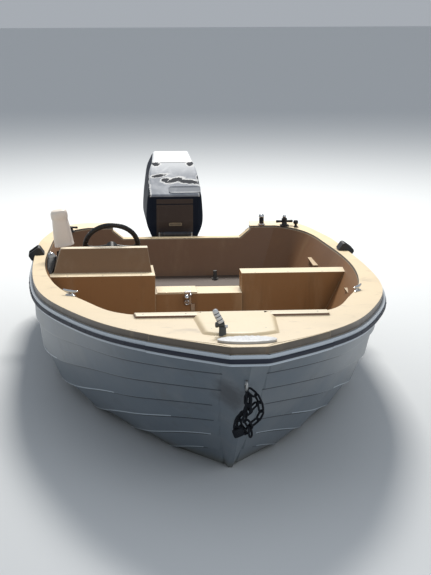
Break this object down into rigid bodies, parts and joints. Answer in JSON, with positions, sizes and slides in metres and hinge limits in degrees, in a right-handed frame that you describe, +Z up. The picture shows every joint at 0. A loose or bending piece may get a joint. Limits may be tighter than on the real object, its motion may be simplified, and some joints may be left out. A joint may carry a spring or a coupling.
{
  "type": "console motorboat",
  "caption": "Open clinker-style moulded motorboat with helm console, walk-through sill, short foredeck and a tilting, steering outboard motor, shown afloat with its whole hull.",
  "frame": {"origin": "on the centreline at the waterline, about amidships between stern edge and bow rail, on the water mount", "axes": "+Z up out of the water, +Y towards the stern along the hull, +X to port, bow towards -Y"},
  "size_m": [1.9624, 5.187, 1.4554],
  "materials": {
    "hull_gelcoat": "weathered off-white clinker gelcoat",
    "deck_gelcoat": "sun-faded tan gelcoat",
    "liner_gelcoat": "tan moulded liner",
    "sole_mat": "non-slip moulded sole",
    "rail_white": "white extruded rub rail",
    "rail_dark": "dark rail insert",
    "black_plastic": "black moulded plastic",
    "wheel_black": "worn black wheel rim",
    "chrome": "chromed fittings",
    "plate_grey": "pale blank bow plate",
    "cover_cream": "translucent cream jug",
    "cowl_navy": "dark navy motor paint",
    "cowl_silver": "bare silver-grey top with peeled paint",
    "cowl_front": "brown-black front panel",
    "motor_paint": "dark navy lower unit paint",
    "bracket_metal": "dark painted bracket",
    "steel": "steel",
    "prop_metal": "dark painted propeller",
    "chain_black": "black painted chain",
    "engine_grey": "plain engine block",
    "wood_board": "transom core board"
  },
  "bodies": {
    "boat": {"hull_shell": "hull_gelcoat", "keel_strip": "hull_gelcoat", "deck_moulding": "deck_gelcoat", "foredeck_panel": "deck_gelcoat", "rub_rail": "rail_white", "rub_insert": "rail_dark", "cockpit_liner": "liner_gelcoat", "motor_board": "wood_board", "transom_cap": "deck_gelcoat", "sole_board": "sole_mat", "helm_console": "liner_gelcoat", "dash_box": "deck_gelcoat", "port_console": "liner_gelcoat", "centre_sill": "liner_gelcoat", "stern_bench": "liner_gelcoat", "side_shelves": "liner_gelcoat", "sill_latch": "chrome", "bench_outlet": "plate_grey", "wheel_mount": "black_plastic", "control_box": "black_plastic", "control_lever": "black_plastic", "lever_cover": "cover_cream", "gunwale_pads": "black_plastic", "side_cleats": "chrome", "stern_cleats": "black_plastic", "stern_post": "chrome", "stern_knob": "black_plastic", "bow_light": "chrome", "bow_plate": "plate_grey", "bow_eye": "steel", "bow_chain": "chain_black", "clamp_bracket": "bracket_metal", "clamp_screws": "steel"},
    "swivel": {"swivel_bracket": "bracket_metal"},
    "motor": {"cowl_top": "cowl_silver", "cowl_hood": "cowl_navy", "cowl_pan": "cowl_navy", "cowl_front_panel": "cowl_front", "engine_block": "engine_grey", "midsection": "motor_paint", "vent_plate": "motor_paint", "gearcase": "motor_paint"},
    "prop": {"propeller": "prop_metal"},
    "wheel": {"wheel_rim": "wheel_black", "wheel_shaft": "steel"}
  },
  "joints": [
    {"name": "motor_tilt", "type": "hinge", "parent": "boat", "child": "swivel", "pos_m": [-0.035, 2.262, 0.452], "axis": [1, 0, 0], "range_deg": [0, 65]},
    {"name": "motor_steer", "type": "hinge", "parent": "swivel", "child": "motor", "pos_m": [-0.035, 2.4, 0.25], "axis": [0, 0, 1], "range_deg": [-30, 30]},
    {"name": "propeller_spin", "type": "hinge", "parent": "motor", "child": "prop", "pos_m": [-0.035, 2.713, -0.33], "axis": [0, 1, 0], "continuous": true},
    {"name": "wheel_turn", "type": "hinge", "parent": "boat", "child": "wheel", "pos_m": [-0.489, 1, 0.616], "axis": [0, 0.8805, 0.4741], "range_deg": [-545, 545]}
  ],
  "couplings": [
    {"joint": "wheel_turn", "follows": "motor_steer", "ratio": -18}
  ]
}
